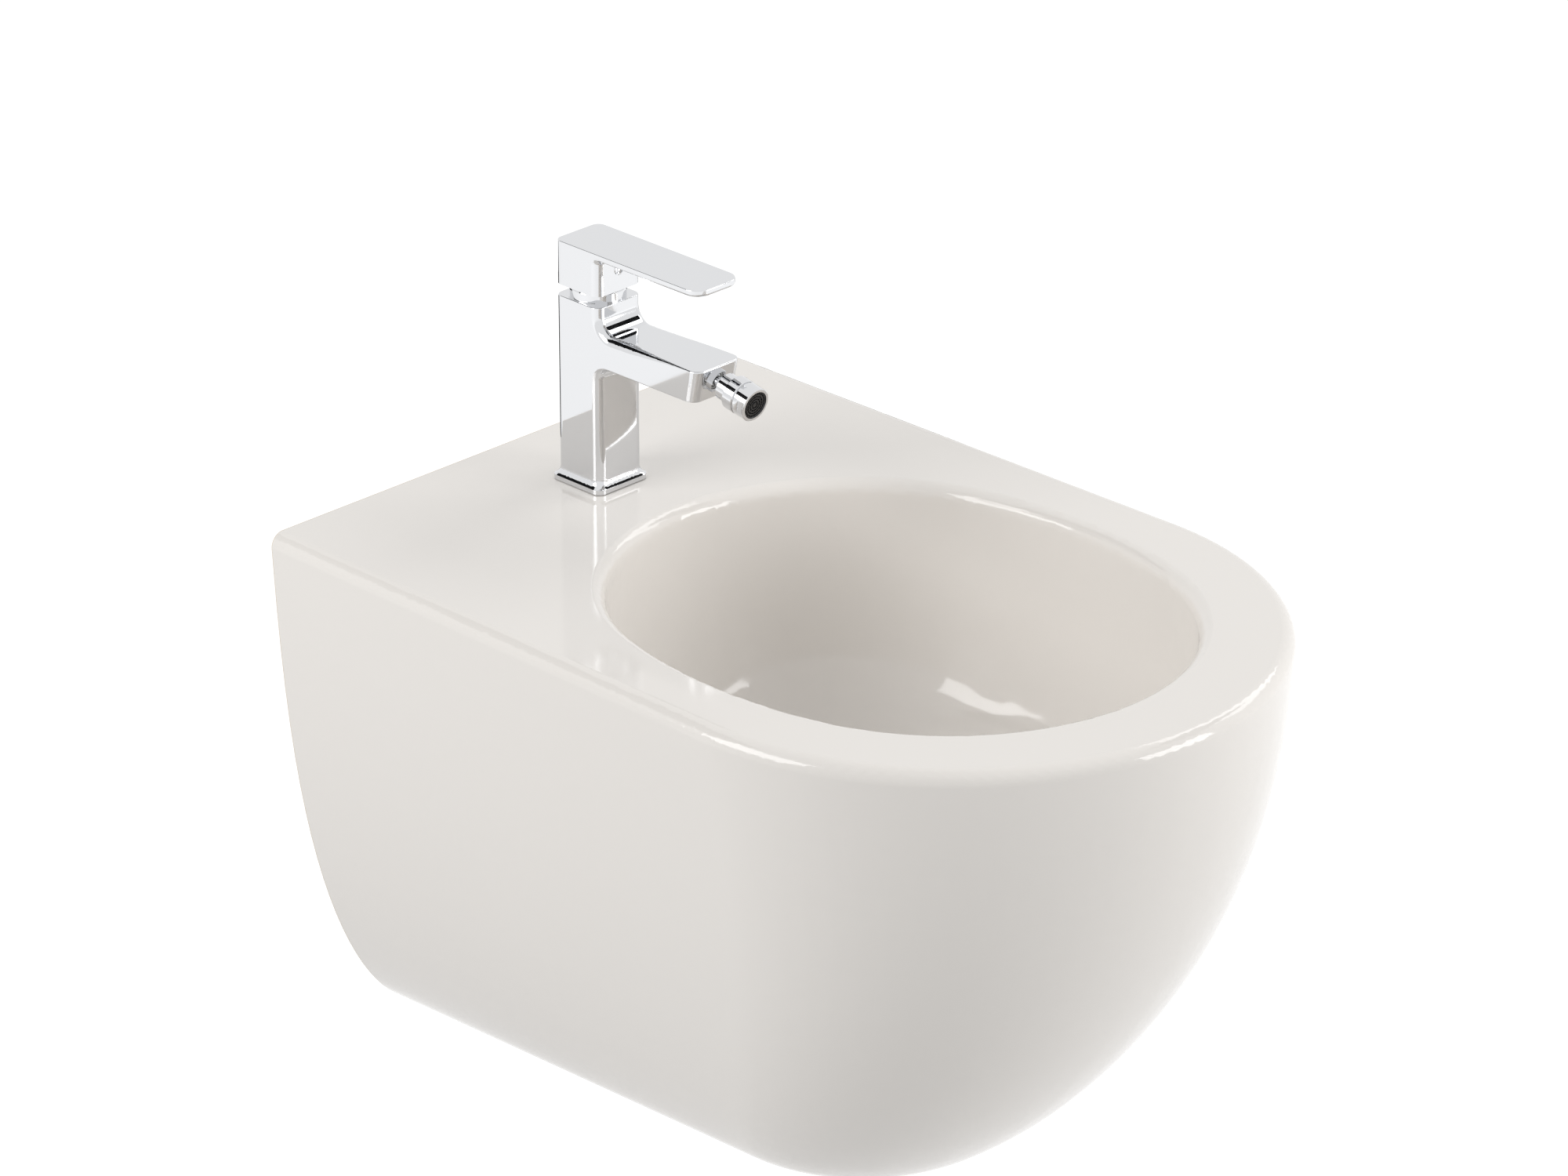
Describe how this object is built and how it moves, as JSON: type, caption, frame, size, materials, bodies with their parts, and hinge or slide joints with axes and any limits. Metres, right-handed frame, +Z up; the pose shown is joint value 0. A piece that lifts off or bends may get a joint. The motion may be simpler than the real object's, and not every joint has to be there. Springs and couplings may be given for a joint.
{
  "type": "wall-hung bidet",
  "caption": "Wall-hung bidet: a rounded china bowl with a flat deck, a square single-lever mixer tap with a swivelling nozzle, and a click waste in its oval basin.",
  "frame": {"origin": "on the wall plane, midway between the two wall stud holes", "axes": "+Z up, +Y into the wall, so the bowl's front faces -Y; +X to the right of someone who stands at the front and faces it"},
  "size_m": [0.3578, 0.5099, 0.454],
  "materials": {
    "china": "gloss glaze over vitreous china",
    "chrome": "polished plating",
    "brass": "machined",
    "steel": "stainless, drawn",
    "rubber": "matt",
    "white_plastic": "moulded",
    "grey_plastic": "moulded",
    "disc_ceramic": "lapped alumina",
    "black_plastic": "moulded"
  },
  "bodies": {
    "bowl": {"ceramic_bowl": "china", "tap_body": "chrome", "shroud": "chrome", "ball_nipple": "chrome", "waste_body": "chrome", "cartridge_nut": "brass", "stud_nut": "brass", "waste_backnut": "brass", "fixing_stud": "steel", "horseshoe_plate": "steel", "click_spring": "steel", "base_gasket": "rubber", "horseshoe_gasket": "rubber", "cartridge_seals": "rubber", "waste_seal": "rubber", "waste_gasket": "rubber", "fixing_bushes": "white_plastic", "waste_washer": "white_plastic", "click_housing": "white_plastic", "cartridge_base": "grey_plastic", "cartridge_housing": "grey_plastic", "fixed_disc": "disc_ceramic"},
    "carrier": {"turn_carrier": "grey_plastic", "pivot_pin": "steel"},
    "lever": {"lever_stem": "brass", "lever_handle": "chrome", "grub_screw": "steel", "index_cap": "chrome"},
    "disc": {"moving_disc": "disc_ceramic", "disc_driver": "grey_plastic"},
    "seat": {"ball_seat": "white_plastic"},
    "ring": {"retaining_ring": "white_plastic"},
    "nozzle": {"socket_collar": "chrome", "nozzle_housing": "chrome", "aerator_housing": "chrome", "aerator_washer": "rubber", "aerator_insert": "black_plastic"},
    "plug": {"waste_plug": "chrome", "plug_seal": "rubber", "click_plunger": "steel"}
  },
  "joints": [
    {"name": "lever_turn", "type": "hinge", "parent": "bowl", "child": "carrier", "pos_m": [0, -0.07, 0.1885], "axis": [0, 0, 1], "range_deg": [-45, 45]},
    {"name": "lever_lift", "type": "hinge", "parent": "carrier", "child": "lever", "pos_m": [0, -0.07, 0.1885], "axis": [-1, 0, 0], "range_deg": [0, 20]},
    {"name": "disc_slide", "type": "slide", "parent": "carrier", "child": "disc", "axis": [0, -1, 0], "range_m": [0, 0.0045]},
    {"name": "nozzle_swing", "type": "hinge", "parent": "bowl", "child": "seat", "pos_m": [0, -0.16953, 0.16718], "axis": [0, -0.1908, 0.9816], "range_deg": [-15, 15]},
    {"name": "nozzle_tilt", "type": "hinge", "parent": "seat", "child": "ring", "pos_m": [0, -0.16953, 0.16718], "axis": [1, 0, 0], "range_deg": [-15, 15]},
    {"name": "nozzle_spin", "type": "hinge", "parent": "ring", "child": "nozzle", "pos_m": [0, -0.16953, 0.16718], "axis": [0, -0.9816, -0.1908], "continuous": true},
    {"name": "plug_click", "type": "slide", "parent": "bowl", "child": "plug", "axis": [0, 0, 1], "range_m": [0, 0.008], "deforming": ["click_spring"]}
  ],
  "couplings": [
    {"joint": "disc_slide", "follows": "lever_lift", "m_per_rad": 0.0122}
  ]
}
